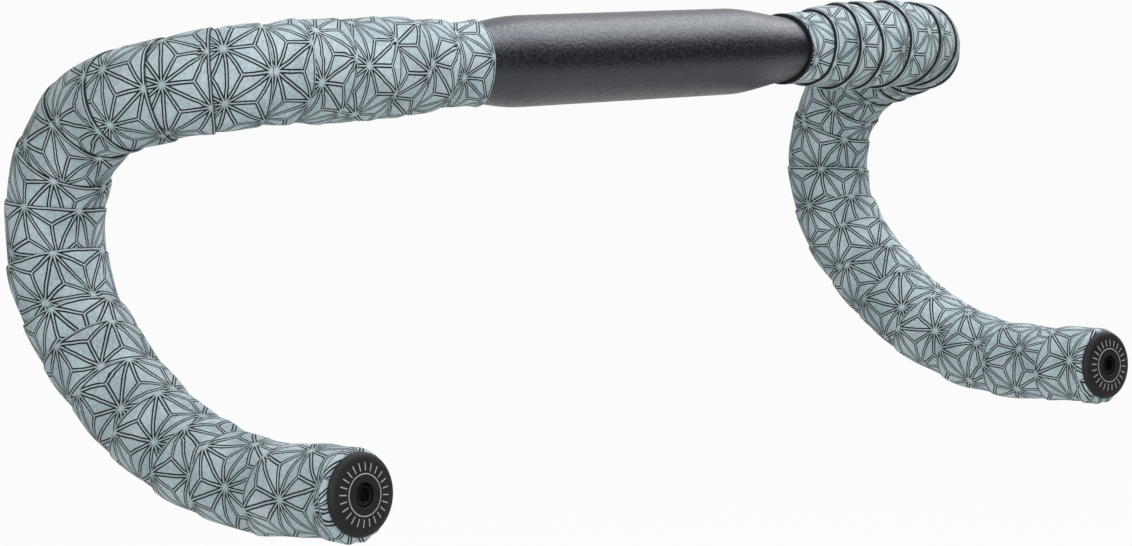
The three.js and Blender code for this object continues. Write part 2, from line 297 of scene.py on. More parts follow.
class StudioSettings(bpy.types.PropertyGroup):
    """The camera and the lights."""

    camera_place: FloatVectorProperty(
        name="Camera place",
        description="Where the camera stands",
        subtype="TRANSLATION",
        unit="LENGTH",
        default=(-0.7095, -0.7387, 0.0503),
    )
    camera_aim: FloatVectorProperty(
        name="Camera aim",
        description="The direction in which the camera looks",
        subtype="DIRECTION",
        default=(0.6727, 0.7294, -0.1243),
    )
    lens: plain_number("Lens", "Focal length in millimetres", 91.04)
    sensor: plain_number("Sensor", "Sensor width in millimetres", 36)
    floor_drop: metres("Floor drop", "How far the floor lies below the bar", 0.3)
    floor_size: metres("Floor size", "Width of the floor", 80)
    key_power: plain_number("Key power", "Power of the lamp on the right", 12)
    fill_power: plain_number("Fill power", "Power of the lamp on the left", 22)
    top_power: plain_number("Top power", "Power of the lamp overhead", 8)
    world_strength: plain_number("World", "Strength of the light all round", 0.31)


SETTINGS = {
    "handlebar_bar": BarSizes,
    "handlebar_tape": TapeSizes,
    "handlebar_pattern": PatternSizes,
    "handlebar_plug": PlugSizes,
    "handlebar_colours": FinishColours,
    "handlebar_studio": StudioSettings,
}


def ease(share):
    """A smooth rise from 0 to 1."""
    return (1 - np.cos(np.pi * np.clip(share, 0, 1))) / 2


def spun(vectors, axis, angles):
    """Rows of vectors, each turned about one axis by its own angle."""
    cosine = np.cos(angles)[:, None]
    sine = np.sin(angles)[:, None]
    along = (vectors @ axis)[:, None] * axis
    return vectors * cosine + np.cross(axis, vectors) * sine + along * (1 - cosine)


def unit(vector):
    return vector / np.linalg.norm(vector)


class HalfBar:
    """One half of the bar's centre line, from the middle outward, with a frame that never twists."""

    def __init__(self, side, bar):
        self.side = side
        self.bar = bar
        self.pieces = []
        self.length = 0.0
        self.point = np.zeros(3)
        self.frame = np.array([[side, 0, 0], [0, 1, 0], [0, 0, 1]], float)
        toe, slope, flare = bar.toe_out, bar.ramp_slope, bar.flare
        forward = math.cos(toe)
        ramp = np.array([side * math.sin(toe), forward * math.cos(slope), -forward * math.sin(slope)])
        down = np.array([side * math.sin(flare), 0, -math.cos(flare)])
        self.add(bar.straight_half)
        self.add_bend(bar.corner_radius, math.acos(self.frame[0] @ ramp), ramp)
        self.corner_end = self.length
        self.add_bend(bar.hook_radius, bar.hook_turn, down)
        self.hook_end = self.length
        axis = self.pieces[-1]["axis"]
        self.add_bend(bar.drop_radius, bar.drop_turn, np.cross(axis, self.frame[0]))
        self.add(bar.grip_end)

    def add_bend(self, radius, angle, towards):
        self.add(radius * angle, radius, unit(np.cross(self.frame[0], towards)))

    def add(self, length, radius=None, axis=None):
        piece = {"start": self.length, "radius": radius, "axis": axis}
        piece.update(point=self.point, frame=self.frame)
        self.pieces.append(piece)
        self.length += length
        points, frames = self.walk(piece, np.array([length]))
        self.point, self.frame = points[0], frames[0]

    @staticmethod
    def walk(piece, along):
        """Points and frames at distances along one piece. A frame's rows are ahead, front and top."""
        count = len(along)
        rows = [np.tile(row, (count, 1)) for row in piece["frame"]]
        if piece["radius"] is None:
            return piece["point"] + along[:, None] * rows[0], np.stack(rows, axis=1)
        angles = along / piece["radius"]
        inward = np.cross(piece["axis"], piece["frame"][0])
        ahead = piece["radius"] * np.sin(angles)[:, None] * piece["frame"][0]
        aside = piece["radius"] * (1 - np.cos(angles))[:, None] * inward
        turned = [spun(row, piece["axis"], angles) for row in rows]
        return piece["point"] + ahead + aside, np.stack(turned, axis=1)

    def at(self, distances):
        """Points, frames and bends (inward, one over the radius) at distances from the middle."""
        distances = np.asarray(distances, float)
        flat = distances.ravel()
        starts = np.array([piece["start"] for piece in self.pieces])
        which = np.clip(np.searchsorted(starts, flat, side="right") - 1, 0, len(starts) - 1)
        points = np.zeros((flat.size, 3))
        frames = np.zeros((flat.size, 3, 3))
        bends = np.zeros((flat.size, 3))
        for index, piece in enumerate(self.pieces):
            here = which == index
            if not here.any():
                continue
            points[here], frames[here] = self.walk(piece, flat[here] - piece["start"])
            if piece["radius"] is not None:
                bends[here] = np.cross(piece["axis"], frames[here][:, 0]) / piece["radius"]
        shape = distances.shape
        return points.reshape(*shape, 3), frames.reshape(*shape, 3, 3), bends.reshape(*shape, 3)

    def tube_radius(self, distances):
        bar = self.bar
        fall = ease((np.asarray(distances) - bar.clamp_half) / bar.shoulder)
        return bar.clamp_radius - (bar.clamp_radius - bar.grip_radius) * fall

    def skin(self, distances, angles, radii):
        """Points round the bar: angle 0 is the front and a quarter turn is the top."""
        points, frames, _ = self.at(distances)
        towards_front = np.cos(angles)[..., None] * frames[..., 1, :]
        radial = towards_front + np.sin(angles)[..., None] * frames[..., 2, :]
        return points + np.asarray(radii)[..., None] * radial

    def end_place(self):
        """A matrix whose Z axis points out of the bar's end, with the end face at its origin."""
        points, frames, _ = self.at(np.array([self.length]))
        ahead, front = Vector(frames[0][0]), Vector(frames[0][1])
        side = ahead.cross(front)
        columns = Matrix((front, side, ahead)).transposed()
        return Matrix.Translation(Vector(points[0])) @ columns.to_4x4()


def deselect_all():
    if bpy.context.object and bpy.context.object.mode != "OBJECT":
        bpy.ops.object.mode_set(mode="OBJECT")
    bpy.ops.object.select_all(action="DESELECT")


def activate(piece):
    deselect_all()
    piece.select_set(True)
    bpy.context.view_layer.objects.active = piece


def fix_place():
    """Moves the active piece's place, turn and scale into its mesh."""
    bpy.ops.object.transform_apply(location=True, rotation=True, scale=True)


def close_skin(merge=0, smallest=0):
    """Joins the active piece's points that lie together, and turns its faces outward."""
    bpy.ops.object.mode_set(mode="EDIT")
    bpy.ops.mesh.select_all(action="SELECT")
    if merge:
        bpy.ops.mesh.remove_doubles(threshold=merge)
    if smallest:
        bpy.ops.mesh.dissolve_degenerate(threshold=smallest)
    bpy.ops.mesh.normals_make_consistent(inside=False)
    bpy.ops.object.mode_set(mode="OBJECT")


def keep(piece, name, finish, slot, *nodes):
    """Names a finished piece, gives it its finish and lets it stand for CAD nodes."""
    piece.name = piece.data.name = name
    piece.data.materials.clear()
    piece.data.materials.append(finish)
    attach(piece, BODY)
    if nodes:
        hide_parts(*nodes)
    return piece


class Number:
    """A number in a material's nodes, on which Python's operators work."""

    def __init__(self, finish, socket):
        self.finish = finish
        self.socket = socket

    def maths(self, operation, *values):
        sockets = dict(enumerate([self, *values]))
        return self.finish.add("Math", {"operation": operation}, sockets)

    def __add__(self, other):
        return self.maths("ADD", other)

    def __radd__(self, other):
        return self.maths("ADD", other)

    def __sub__(self, other):
        return self.maths("SUBTRACT", other)

    def __rsub__(self, other):
        return self.maths("MULTIPLY_ADD", -1, other)

    def __mul__(self, other):
        return self.maths("MULTIPLY", other)

    def __abs__(self):
        return self.maths("ABSOLUTE")

    def __gt__(self, other):
        return self.maths("GREATER_THAN", other)


class Finish:
    """A material and its nodes. The constants are its shader's sockets, with _ for a space."""

    def __init__(self, name, **constants):
        self.material = bpy.data.materials.new(name)
        self.material.use_nodes = True
        self.tree = self.material.node_tree
        self.shader = self.tree.nodes["Principled BSDF"]
        for socket, value in constants.items():
            self.shader.inputs[socket.replace("_", " ")].default_value = value

    def add(self, kind, settings=None, sockets=None, output=0):
        """Adds a node: its type, its settings, and the values or links of its sockets."""
        node = self.tree.nodes.new("ShaderNode" + kind)
        for key, value in (settings or {}).items():
            setattr(node, key, value)
        for key, value in (sockets or {}).items():
            if isinstance(value, Number):
                self.tree.links.new(value.socket, node.inputs[key])
            else:
                node.inputs[key].default_value = value
        return Number(self, node.outputs[output])

    def join(self, socket, value):
        self.tree.links.new(value.socket, self.shader.inputs[socket])

    def place(self):
        """The piece's own coordinates, in metres."""
        return self.add("TexCoord", output="Object")

    def split(self, vector):
        """A vector's three numbers."""
        node = self.add("SeparateXYZ", sockets={0: vector}).socket.node
        return [Number(self, output) for output in node.outputs]

    def noise(self, size, detail=2.0, where=None):
        """Soft random values round 0.5 whose grains are about size metres across."""
        place = where or self.place()
        sockets = {"Vector": place, "Scale": 1 / size, "Detail": detail}
        return self.add("TexNoise", sockets=sockets, output="Fac")

    def mix(self, share, first, second):
        """A colour between two others. Its sockets share their names, so they go by number."""
        return self.add("Mix", {"data_type": "RGBA"}, {0: share, 6: first, 7: second}, output=2)

    def bump(self, height):
        """Gives the shader a relief whose height is in metres."""
        sockets = {"Height": height, "Strength": 1.0, "Distance": 1.0}
        self.join("Normal", self.add("Bump", sockets=sockets, output="Normal"))


def rgba(colour, share=1.0):
    """A colour, or a share of it, as a socket takes it."""
    return (*[c * share for c in colour], 1.0)


def seen_as_white(nodes, links):
    """1 for rays from the camera and rays that mirror or pass through something, and else 0."""
    rays = nodes.new("ShaderNodeLightPath")
    seen = rays.outputs["Is Camera Ray"]
    for kind in ("Is Glossy Ray", "Is Transmission Ray"):
        either = nodes.new("ShaderNodeMath")
        either.operation = "MAXIMUM"
        links.new(seen, either.inputs[0])
        links.new(rays.outputs[kind], either.inputs[1])
        seen = either.outputs[0]
    return seen


def soft_step(value, low, high):
    """0 below low, 1 above high and smooth between."""
    settings = {"interpolation_type": "SMOOTHSTEP"}
    sockets = {"Value": value, "From Min": low, "From Max": high}
    return value.finish.add("MapRange", settings, sockets)


def hemp_leaf_distance(stars, rows, spacing):
    """Distance to the nearest rib of a hemp-leaf lattice, from a count of its stars and of its rows."""
    first = rows.maths("FRACT")
    second = (stars - rows * 0.5).maths("FRACT")
    both = first + second
    downward = both > 1.0
    third = abs(both - 1.0)
    first = abs(first - downward)
    second = abs(second - downward)
    least = first.maths("MINIMUM", second).maths("MINIMUM", third)
    most = first.maths("MAXIMUM", second).maths("MAXIMUM", third)
    middle = 1.0 - least - most
    nearer = ((middle - least) * (1 / math.sqrt(3))).maths("MINIMUM", least)
    return nearer * (spacing * math.sqrt(3) / 2)


def tape_finish(pattern, colours):
    """Soft suede-like foam with pressed double lines, its cut black edge, and painted crease shade where
    each turn's edge meets the face below.
    """
    finish = Finish(
        "tape_foam",
        Roughness=0.82,
        Metallic=0.0,
        Specular_IOR_Level=0.2,
        Sheen_Weight=0.05,
        Sheen_Roughness=0.6,
    )
    stars, rows, _ = finish.split(finish.add("UVMap"))
    place = finish.place()
    drift = (finish.noise(0.009, where=place) - 0.5) * 0.07
    rows = rows + drift - pattern.first_row / pattern.row_drop
    near_edge = 1.0 - soft_step(rows, 0.12, 0.4)
    creased = soft_step(finish.noise(0.02, where=place), 0.5, 0.62) * near_edge
    stars = stars + (finish.noise(0.012, where=place) - 0.5) * 0.06
    stars = stars + (finish.noise(0.0035, where=place) - 0.5) * creased * 0.22
    distance = hemp_leaf_distance(stars, rows, pattern.star_spacing)
    off_line = abs(distance - pattern.line_inset)
    half = pattern.line_width / 2
    line = 1.0 - soft_step(off_line, half * 0.7, half * 1.3)
    # The mask of the black cut edges, with painted crease shade at each step's foot and painted crevice
    # shade round the left corner.
    edge = finish.add("Attribute", {"attribute_name": "black_edge_and_crease_shade"}, output="Fac")
    grain = finish.noise(0.0009, 3.0)
    cloud = finish.noise(0.014, 4.0)
    share = soft_step(grain, 0.2, 0.8) * 0.55 + soft_step(cloud, 0.3, 0.7) * 0.45
    face = finish.mix(share, rgba(colours.tape_shade), rgba(colours.tape))
    strength = line * (0.92 + finish.noise(0.006) * 0.3)
    drawn = finish.mix(strength, face, rgba(colours.tape_line))
    finish.join("Base Color", finish.mix(edge, drawn, rgba(colours.tape_edge_and_crease_shade)))
    relief = line * -pattern.line_depth + grain * 0.00006
    finish.bump(relief)
    return finish.material


def bar_finish(colours):
    """Black anodised aluminium with a fine satin grain."""
    tint = (0.8, 0.88, 1.0, 1.0)
    finish = Finish("bar_metal", Metallic=0.0, Specular_IOR_Level=0.72, Specular_Tint=tint)
    grain = finish.noise(0.0011, 2.0)
    face = finish.mix(grain, rgba(colours.bar, 0.6), rgba(colours.bar, 1.2))
    finish.join("Base Color", face)
    finish.join("Roughness", soft_step(grain, 0.3, 0.7) * 0.14 + 0.33)
    finish.bump(grain * 0.00014)
    return finish.material


def cap_finish(colours):
    """Fine-grained moulded plastic with a pale ring of plain ticks."""
    finish = Finish("plug_plastic", Metallic=0.0, Specular_IOR_Level=0.28)
    sideways, upwards, _ = finish.split(finish.add("UVMap"))
    radius = (sideways * sideways + upwards * upwards).maths("SQRT")
    angle = upwards.maths("ARCTAN2", sideways)
    step = FULL_TURN / TICKS
    tick = abs((angle * (TICKS / FULL_TURN)).maths("FRACT") - 0.5) * radius * step
    on_tick = 1.0 - soft_step(tick, 0.00012, 0.00022)
    past_inner = soft_step(radius, TICKS_INNER, TICKS_INNER + MARK_FADE)
    past_outer = soft_step(radius, TICKS_OUTER - MARK_FADE, TICKS_OUTER)
    ring = 1.0 - soft_step(abs(radius - MARK_RING), 0.00012, 0.0002)
    mark = (on_tick * (past_inner * (1.0 - past_outer))).maths("MAXIMUM", ring)
    grain = finish.noise(0.0004)
    face = finish.mix(grain, rgba(colours.cap, 0.75), rgba(colours.cap))
    finish.join("Base Color", finish.mix(mark * 0.75, face, rgba(colours.cap_mark)))
    finish.join("Roughness", grain * 0.2 + 0.5)
    finish.bump(grain * 0.00005)
    return finish.material


def grained_finish(name, metallic, colour, size, detail, roughness):
    """A plain finish with a fine grain in its colour and its roughness."""
    finish = Finish(name, Metallic=metallic)
    grain = finish.noise(size, detail)
    finish.join("Base Color", finish.mix(grain, rgba(colour, 0.7), rgba(colour)))
    finish.join("Roughness", grain * 0.2 + roughness)
    return finish.material


def plain_plastic_finish(colours):
    """The caps' plastic inside the bar, where nothing is marked."""
    return grained_finish("inner_plastic", 0.0, colours.cap, 0.0006, 2.0, 0.45)


def steel_finish(colours):
    """Blackened steel."""
    return grained_finish("black_steel", 0.9, colours.steel, 0.0005, 4.0, 0.3)


def floor_finish(colours):
    """A pale floor that the camera and reflections see as white, under the object's shadow."""
    finish = Finish("pale_floor", Roughness=0.9, Base_Color=rgba(colours.floor))
    seen = Number(finish, seen_as_white(finish.tree.nodes, finish.tree.links))
    white = finish.add("Emission", sockets={"Color": (1, 1, 1, 1), "Strength": 1.0})
    lit = Number(finish, finish.shader.outputs[0])
    shown = finish.add("MixShader", sockets={0: seen * 0.95, 1: lit, 2: white})
    finish.tree.links.new(shown.socket, finish.tree.nodes["Material Output"].inputs["Surface"])
    return finish.material


def outline_tube(name, points, radii, sides):
    """A tube along points, made from a curve with a round section."""
    curve = bpy.data.curves.new(name, "CURVE")
    curve.dimensions = "3D"
    curve.bevel_depth = 1.0
    curve.bevel_resolution = sides // 4 - 1
    spline = curve.splines.new("POLY")
    spline.points.add(len(points) - 1)
    for knot, point, radius in zip(spline.points, points, radii):
        knot.co = (*point, 1.0)
        knot.radius = radius
    tube = bpy.data.objects.new(name, curve)
    bpy.context.collection.objects.link(tube)
    activate(tube)
    bpy.ops.object.convert(target="MESH")
    return bpy.context.object


class HANDLEBAR_OT_bar_tube(bpy.types.Operator):
    """Model the bare tube and give it its black finish"""

    bl_idname = "handlebar.bar_tube"
    bl_label = "Bar tube"

    def execute(self, context):
        bar = context.scene.handlebar_bar
        points, radii = [], []
        for side in (-1, 1):
            half = HalfBar(side, bar)
            distances = np.arange(0, half.length, 0.0025)
            distances = np.append(distances, half.length)
            if side < 0:
                distances = distances[::-1]
            else:
                distances = distances[1:]
            points.extend(half.at(distances)[0])
            radii.extend(half.tube_radius(distances))
        tube = outline_tube("bar_tube", points, radii, bar.sides)
        wall = tube.modifiers.new("wall", "SOLIDIFY")
        wall.thickness = bar.wall
        wall.offset = -1
        bpy.ops.object.modifier_apply(modifier=wall.name)
        activate(tube)
        close_skin()
        bpy.ops.object.shade_smooth_by_angle(angle=TUBE_SHARP_ANGLE)
        keep(tube, "bar_tube", bar_finish(context.scene.handlebar_colours), "bar_metal", "handlebar")
        return {"FINISHED"}


def curve_through(values, places):
    """A smooth curve through a list's values, and straight on past both ends."""
    values = np.asarray(values, float)
    padded = np.concatenate([[2 * values[0] - values[1]], values, [2 * values[-1] - values[-2]]])
    last = len(values) - 1
    inside = np.clip(places, 0, last)
    step = np.minimum(inside.astype(int), last - 1)
    t = inside - step
    a, b, c, d = (padded[step + shift] for shift in range(4))
    curve = b + t / 2 * (c - a + t * (2 * a - 5 * b + 4 * c - d + t * (3 * (b - c) + d - a)))
    before = np.minimum(places, 0) * (values[1] - values[0])
    after = np.maximum(places - last, 0) * (values[-1] - values[-2])
    return curve + before + after


class WoundTape:
    """The skin of one tape: a spiral of turns, each over the last, folded in at the bar's end."""

    def __init__(self, half, tape, pattern):
        self.half = half
        self.tape = tape
        self.pattern = pattern
        left = half.side < 0
        self.start = tape.start_left if left else tape.start_right
        self.edge_top = tape.edge_left if left else tape.edge_right
        self.row_top = pattern.row_left if left else pattern.row_right
        self.lump = tape.lump if left else 0
        self.first_rim = 0 if left else pattern.first_rim
        self.stars = pattern.stars_left if left else pattern.stars_right
        crossings = (tape.left_over, tape.left_under) if left else (tape.right_under, tape.right_over)
        self.lay = np.zeros(len(crossings[0]) + len(crossings[1]))
        self.lay[0::2] = crossings[0]
        self.lay[1::2] = crossings[1]
        self.wind = -half.side
        self.last_skin = half.length + CLEARANCE + tape.fold - tape.fold_round
        self.angles = self.wind * FULL_TURN * np.arange(tape.sides + 1) / tape.sides
        self.rows = []
        self.maps = []
        self.black_and_shade_rows = []

    def rim(self, angles):
        """Where the tape starts: the first rim leans out at the back of the bar."""
        return self.start - self.tape.rim_lean * np.cos(angles)

    def foot(self, turns):
        """Distance of an edge's foot from the bar's middle, at a number of turns."""
        percent = curve_through(self.lay, turns * 2 - 0.5)
        return self.start + (self.half.length - self.start) * percent / 100

    def middle_radius(self, distances):
        tape = self.tape
        half = self.half
        rise = ease((distances - self.start) / tape.run_in)
        fall = ease((distances - half.hook_end) / (half.length - half.hook_end))
        full = tape.top_thickness - (tape.top_thickness - tape.end_thickness) * fall
        thickness = tape.start_thickness + (full - tape.start_thickness) * rise
        return half.tube_radius(distances) + CLEARANCE + thickness

    def past_corner(self, distances):
        straight = self.half.bar.straight_half
        return ease((distances - straight) / (self.half.corner_end - straight))

    def edge(self, distances):
        """How far an edge stands up: less past the corner, and nothing at the tape's two ends."""
        tape = self.tape
        from_start = distances - self.start - tape.rim_lean
        from_end = self.last_skin - distances
        height = self.edge_top + (tape.edge_drop - self.edge_top) * self.past_corner(distances)
        return height * ease(np.minimum(from_start, from_end) / tape.edge_fade)

    def swell(self, distances, angles):
        """Soft unevenness of the padding, and the lump under the left top."""
        tape = self.tape
        waves = sum(
            share * np.sin(around * angles + rate * distances + start)
            for around, rate, start, share in WAVES
        )
        ends = np.minimum(distances - self.start - tape.rim_lean, self.last_skin - distances)
        raised = tape.swell * waves * ease(ends / tape.edge_fade)
        near_end = ease(1 - (self.last_skin - distances) / tape.pleat_reach)
        below = ((1 + np.cos(angles - GATHER_ANGLE)) / 2) ** 2
        pleats = np.sin(PLEATS * angles + 1.5 * np.sin(2 * angles)) * tape.pleat + tape.end_bulge
        raised = raised + pleats * below * near_end
        beneath = np.cos((angles - LUMP_ANGLE) / 2) ** 12
        lump = beneath * np.exp(-(((distances - tape.lump_place) / tape.lump_spread) ** 2))
        return raised + self.lump * lump

    @staticmethod
    def section():
        """A turn's section: metres past the foot, share of the way to the next, rise and black. The
        black is the cut edge up the wall, and painted crease shade where the next turn's edge meets this
        face.
        """
        wall = [(0.0, -0.5, 1), (0.00004, -0.25, 1), (0.0001, 0.0, 1)]
        wall += [(0.00018, 0.2, 0.8), (0.0003, 0.36, 0)]
        rows = [(offset, 0.0, rise, black) for offset, rise, black in wall]
        rows.append((0.0005, 0.0, 0.46, 0))
        steps = 10
        for step in range(steps):
            share = step / steps
            rows.append((0.0008 * (1 - share), share, 0.5 - share**1.2, 0))
        # These last rows lead into the next turn's edge; the black on the last two is painted crease
        # shade.
        rows.append((-0.0003, 1.0, -0.49, 0))
        rows.append((-0.0002, 1.0, -0.5, 1))
        rows.append((-0.00002, 1.0, -0.5, 1))
        return rows

    def black_and_crease_shade(self, distances):
        """How black the cut edges and their painted crease shade are: all along the right top, and
        lightly round the left corner, where the black is painted crevice shade.
        """
        if self.half.side > 0:
            start, length = RIGHT_BLACK_AND_SHADE_GOES
            return 1 - ease((distances - start) / length)
        start, length = LEFT_BLACK_AND_SHADE_COMES
        rising = ease((distances - start) / length)
        start, length = LEFT_BLACK_AND_SHADE_GOES
        return self.tape.left_black_and_shade * rising * (1 - ease((distances - start) / length))

    def add_row(self, points, stars, rows, black=0.0):
        self.rows.append(points)
        self.maps.append(np.stack([stars, rows], axis=-1))
        self.black_and_shade_rows.append(np.full(len(points), black))

    def wind_skin(self):
        """The spiral, from before the rim to past the fold, cut off at both."""
        tape = self.tape
        around = np.arange(tape.sides + 1) / tape.sides
        rim = self.rim(self.angles)
        self.end_stars = np.zeros(len(self.angles))
        self.end_rows = np.zeros(len(self.angles))
        last_turn = math.ceil(len(self.lay) / 2) + 1
        for turn in range(-3, last_turn + 1):
            turns = turn + around
            near, far = self.foot(turns), self.foot(turns + 1)
            slope = (self.foot(turns + 0.02) - self.foot(turns - 0.02)) / (0.04 * FULL_TURN)
            count = curve_through(self.stars, turns - 0.5)
            origin = np.maximum(near, rim + self.first_rim)
            last, across = near, near - origin
            for offset, share, rise, black in self.section():
                free = near + offset + (far - near) * share
                distances = np.clip(free, rim, self.last_skin)
                _, frames, bends = self.half.at(distances)
                radius = self.middle_radius(distances)
                front = (frames[..., 1, :] * bends).sum(axis=-1)
                top = (frames[..., 2, :] * bends).sum(axis=-1)
                inward = front * np.cos(self.angles) + top * np.sin(self.angles)
                wider = self.pattern.row_drop - self.row_top
                spacing = self.row_top + wider * self.past_corner(distances)
                edge = self.edge(distances)
                across = across + (distances - last) * (1 - radius * inward)
                still_ahead = distances > last + 1e-9
                last = distances
                along = (distances - origin) * slope / radius
                stars = count + along / self.pattern.star_spacing
                raised = radius + rise * edge + self.swell(distances, self.angles)
                points = self.half.skin(distances, self.angles, raised)
                self.add_row(points, stars, across / spacing, black * self.black_and_crease_shade(distances))
                self.end_stars = np.where(still_ahead, stars, self.end_stars)
                self.end_rows = np.where(still_ahead, across / spacing, self.end_rows)

    def fold_in(self):
        """The strip's end, folded over the tube's end face and pushed into the bore."""
        tape, half = self.tape, self.half
        outer = self.middle_radius(np.array([self.last_skin]))[0]
        bore = half.bar.grip_radius - half.bar.wall - CLEARANCE
        across = 0.0
        steps = 6
        for step in range(1, steps + 1):
            bend = math.pi / 2 * step / steps
            distance = self.last_skin + tape.fold_round * math.sin(bend)
            shape = self.swell(np.full(len(self.angles), self.last_skin), self.angles) * math.cos(bend)
            radius = outer - tape.fold_round * (1 - math.cos(bend)) + shape
            across += tape.fold_round * math.pi / (2 * steps) / self.pattern.row_drop
            self.plain_row(distance, radius, across)
        end = half.length + CLEARANCE + tape.fold
        self.plain_row(end, bore - tape.tuck + TUCK_ROUND, across + 0.3)
        self.plain_row(end - TUCK_ROUND, bore - tape.tuck, across + 0.35)
        self.plain_row(half.length - tape.tuck_depth, bore - tape.tuck, across + 1.2)
        self.plain_row(half.length - tape.tuck_depth, bore, INNER_ROWS)
        self.plain_row(half.length + 0.0001, bore, INNER_ROWS)

    def plain_row(self, distance, radius, across):
        sides = len(self.angles)
        points = self.half.skin(np.full(sides, distance), self.angles, np.zeros(sides) + radius)
        self.add_row(points, self.end_stars, self.end_rows + across)

    def line_bar(self):
        """The tape's inner face, back along the tube to the first rim."""
        tape, half = self.tape, self.half
        count = 70
        for step in range(count):
            share = 1 - step / count
            distances = self.start + tape.rim_lean + (half.length - self.start - tape.rim_lean) * share
            self.plain_row(distances, half.tube_radius(distances) + tape.seat, INNER_ROWS)
        rim = self.rim(self.angles)
        inner = half.tube_radius(rim) + tape.seat
        outer = self.middle_radius(rim)
        for share, back in RIM_ROUNDING:
            radius = inner + (outer - inner) * share
            points = half.skin(rim + back - RIM_ROUND, self.angles, radius)
            self.add_row(points, self.end_stars, self.end_rows, 1.0)

    def mesh(self, name):
        """Joins the rows into one closed skin with its map of the tape."""
        self.wind_skin()
        self.fold_in()
        self.line_bar()
        points = np.array(self.rows)
        maps = np.array(self.maps)
        count, sides = points.shape[0], points.shape[1]
        index = np.arange(count * sides).reshape(count, sides)
        after = np.roll(index, -1, axis=0)
        rings = [index[:, :-1], after[:, :-1], after[:, 1:], index[:, 1:]]
        quads = np.stack(rings, axis=-1).reshape(-1, 4)
        flat = points.reshape(-1, 3)
        corners = flat[quads]
        diagonals = np.cross(corners[:, 2] - corners[:, 0], corners[:, 3] - corners[:, 1])
        quads = quads[np.linalg.norm(diagonals, axis=1) > 1e-11]
        mesh = bpy.data.meshes.new(name)
        mesh.from_pydata(flat.tolist(), [], quads.tolist())
        layer = mesh.uv_layers.new(name="UVMap")
        used = np.array([loop.vertex_index for loop in mesh.loops])
        layer.data.foreach_set("uv", maps.reshape(-1, 2)[used].ravel())
        # The black of the cut edges and the painted crease shade, point by point.
        edges = mesh.attributes.new("black_edge_and_crease_shade", "FLOAT", "POINT")
        edges.data.foreach_set("value", np.concatenate(self.black_and_shade_rows))
        mesh.validate()
        return mesh


class HANDLEBAR_OT_tapes(bpy.types.Operator):
    """Wind both tapes and press the hemp-leaf lines into them"""

    bl_idname = "handlebar.tapes"
    bl_label = "Wound tapes"

    def execute(self, context):
        scene = context.scene
        tape = scene.handlebar_tape
        finish = tape_finish(scene.handlebar_pattern, scene.handlebar_colours)
        for name, side in SIDES.items():
            wound = WoundTape(HalfBar(side, scene.handlebar_bar), tape, scene.handlebar_pattern)
            piece = bpy.data.objects.new(f"wound_tape_{name}", wound.mesh(f"wound_tape_{name}"))
            context.collection.objects.link(piece)
            activate(piece)
            close_skin(merge=2e-6, smallest=1e-6)
            bpy.ops.object.shade_smooth()
            keep(piece, f"wound_tape_{name}", finish, "tape_foam", f"tape_{name}")
        return {"FINISHED"}


def turned_piece(outline, sides):
    """A turned piece on the Z axis, drawn out ring by ring from a circle and closed on itself."""
    first_radius, first_height = outline[0]
    deselect_all()
    bpy.ops.mesh.primitive_circle_add(vertices=sides, radius=first_radius, location=(0, 0, first_height))
    fix_place()
    bpy.ops.object.mode_set(mode="EDIT")
    bpy.ops.mesh.select_all(action="SELECT")
    radius, height = first_radius, first_height
    for next_radius, next_height in outline[1:] + outline[:1]:
        bpy.ops.mesh.extrude_edges_move(TRANSFORM_OT_translate={"value": (0, 0, next_height - height)})
        factor = next_radius / radius
        bpy.ops.transform.resize(value=(factor, factor, 1), center_override=(0, 0, next_height))
        radius, height = next_radius, next_height
    close_skin(merge=1e-6)
    return bpy.context.object


def map_from_above(piece):
    """Gives a piece a map of its own X and Y, in metres."""
    layer = piece.data.uv_layers.active
    for loop in piece.data.loops:
        place = piece.data.vertices[loop.vertex_index].co
        layer.data[loop.index].uv = (place.x, place.y)


def round_edges(piece, width):
    bevel = piece.modifiers.new("edges", "BEVEL")
    bevel.width = width
    bevel.segments = 3
    bevel.limit_method = "ANGLE"
    bevel.angle_limit = SHARP_ANGLE
    activate(piece)
    bpy.ops.object.modifier_apply(modifier=bevel.name)


def place_at(piece, place):
    """Puts a piece where it belongs, with its place in its mesh."""
    piece.matrix_world = place
    activate(piece)
    fix_place()


class PlugHeights:
    """Heights of a plug's pieces over the tube's end face."""

    def __init__(self, plug, tape):
        self.seat = CLEARANCE + tape.fold + plug.gap
        self.dome_foot = self.seat + plug.cap_edge
        self.top = self.dome_foot + plug.cap_dome
        self.head_top = self.top - plug.head_sunk
        self.head_seat = self.head_top - plug.head_height
        self.collar_end = self.seat - plug.collar_length


def fit_to_bars(scene, make, visual, finish, slot, cad):
    """Makes a piece of the plugs for each end of the bar, and puts it in its place."""
    plug = scene.handlebar_plug
    heights = PlugHeights(plug, scene.handlebar_tape)
    for name, side in SIDES.items():
        piece = make(plug, heights)
        bpy.ops.object.shade_smooth_by_angle(angle=SHARP_ANGLE)
        place_at(piece, HalfBar(side, scene.handlebar_bar).end_place())
        keep(piece, f"{visual}_{name}", finish, slot, f"{name}_{cad}")


